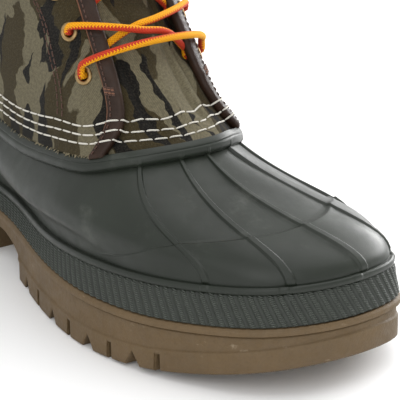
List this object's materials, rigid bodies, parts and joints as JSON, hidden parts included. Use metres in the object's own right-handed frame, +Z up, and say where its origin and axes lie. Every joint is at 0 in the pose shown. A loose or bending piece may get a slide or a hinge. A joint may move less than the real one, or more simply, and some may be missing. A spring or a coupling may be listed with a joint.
{
  "type": "duck boot",
  "caption": "Right duck boot: hollow rubber bottom with ribbed toe, camouflage canvas shaft, laced throat with leather bindings and lugged gum sole.",
  "frame": {"origin": "on the floor, under the middle of the outsole's box", "axes": "+X towards the toe, +Z up, -Y towards the boot's lateral side, which is the wearer's right"},
  "size_m": [0.3118, 0.1097, 0.2],
  "materials": {
    "gum_rubber": "matt tan gum rubber, pebbled wall",
    "green_rubber": "satin dark green-grey moulded rubber",
    "camouflage_canvas": "matt printed canvas, wavy camouflage in khaki, olive brown and charcoal",
    "brown_leather": "dark brown leather with a raw tan edge",
    "antique_brass": "antique brass",
    "lace_cord": "round braided lace, yellow and red-orange",
    "felt": "grey-brown felt"
  },
  "bodies": {
    "root": {"outsole": "gum_rubber", "shell": "green_rubber", "shaft": "camouflage_canvas", "tongue": "camouflage_canvas", "binding_lateral": "brown_leather", "binding_medial": "brown_leather", "insole": "felt", "eyelet_lateral_1": "antique_brass", "eyelet_lateral_2": "antique_brass", "eyelet_lateral_3": "antique_brass", "eyelet_lateral_4": "antique_brass", "eyelet_lateral_5": "antique_brass", "eyelet_lateral_6": "antique_brass", "eyelet_medial_1": "antique_brass", "eyelet_medial_2": "antique_brass", "eyelet_medial_3": "antique_brass", "eyelet_medial_4": "antique_brass", "eyelet_medial_5": "antique_brass", "eyelet_medial_6": "antique_brass", "lace_bar": "lace_cord", "lace_crossing_1": "lace_cord", "lace_crossing_2": "lace_cord", "lace_crossing_3": "lace_cord", "lace_crossing_4": "lace_cord", "lace_crossing_5": "lace_cord"}
  },
  "joints": []
}
